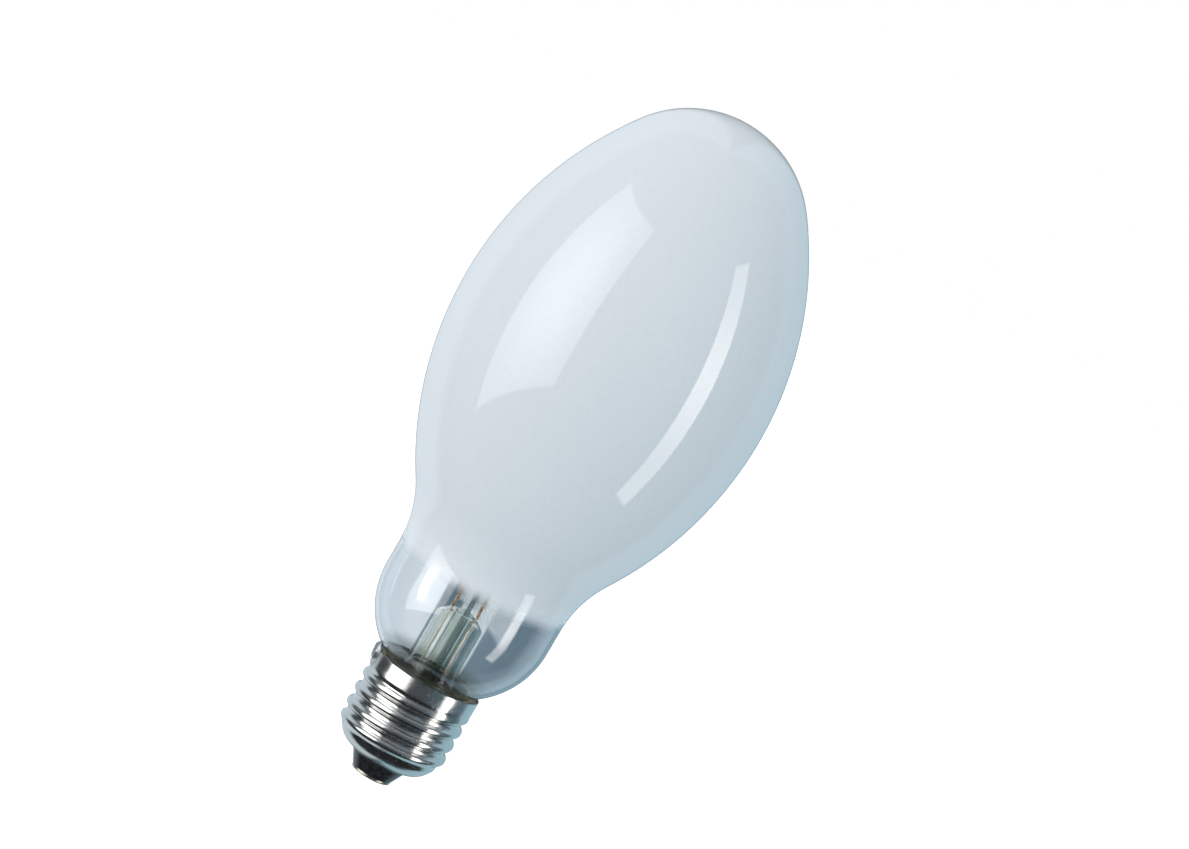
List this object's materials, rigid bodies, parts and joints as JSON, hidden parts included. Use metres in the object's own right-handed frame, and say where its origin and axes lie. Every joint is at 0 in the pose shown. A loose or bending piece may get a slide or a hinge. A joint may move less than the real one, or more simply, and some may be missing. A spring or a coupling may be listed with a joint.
{
  "type": "high-pressure discharge grow lamp",
  "caption": "White-coated ellipsoidal discharge lamp with a clear neck and a rolled Edison screw cap, used as a grow light in a reflector.",
  "frame": {"origin": "centre of the contact's outer face, on the lamp axis, where the lampholder's centre contact meets the cap", "axes": "+Z along the lamp axis from the cap to the crown of the bulb; the side solder is near -X, turned 15 degrees towards -Y"},
  "size_m": [0.075, 0.0748, 0.168],
  "materials": {
    "bulb_glass": "clear blown glass, polished",
    "phosphor_white": "matte white powder coating behind glass, feathered at its edge",
    "cap_metal": "nickel-plated rolled sheet, satin with fine rolling marks",
    "black_glass": "opaque black moulded glass, glossy",
    "contact_metal": "plated brass, lightly tarnished",
    "solder": "tin solder, lumpy, dull in places",
    "cement": "olive-brown cap cement, granular",
    "stem_glass": "clear glass tube, polished",
    "quartz": "clear fused quartz",
    "lead_wire": "nickel wire, drawn",
    "seal_wire": "copper-clad seal wire",
    "frame_wire": "nickel-plated support wire, drawn",
    "tungsten": "tungsten, ground",
    "molybdenum": "molybdenum foil, rolled",
    "resistor_body": "ceramic-bodied carbon rod, matte",
    "mercury": "liquid metal, mirror-like"
  },
  "bodies": {
    "root": {"outer_bulb": "bulb_glass", "phosphor_coating": "phosphor_white", "screw_shell": "cap_metal", "cap_insulator": "black_glass", "centre_contact": "contact_metal", "centre_solder": "solder", "side_solder": "solder", "cap_cement": "cement", "stem": "stem_glass", "exhaust_tube": "stem_glass", "centre_lead_wire": "lead_wire", "side_lead_wire": "lead_wire", "centre_seal_wire": "seal_wire", "side_seal_wire": "seal_wire", "short_lead_post": "frame_wire", "frame_rod": "frame_wire", "arc_tube": "quartz", "lower_electrode": "tungsten", "upper_electrode": "tungsten", "lower_electrode_coil": "tungsten", "upper_electrode_coil": "tungsten", "starter_probe": "tungsten", "lower_foil": "molybdenum", "upper_foil": "molybdenum", "starter_foil": "molybdenum", "lower_foil_lead": "molybdenum", "upper_foil_lead": "molybdenum", "starter_foil_lead": "molybdenum", "lower_pinch_strap": "frame_wire", "upper_pinch_strap": "frame_wire", "starting_resistor": "resistor_body", "resistor_rod_lead": "lead_wire", "resistor_probe_lead": "lead_wire", "mercury_drop": "mercury"}
  },
  "joints": []
}
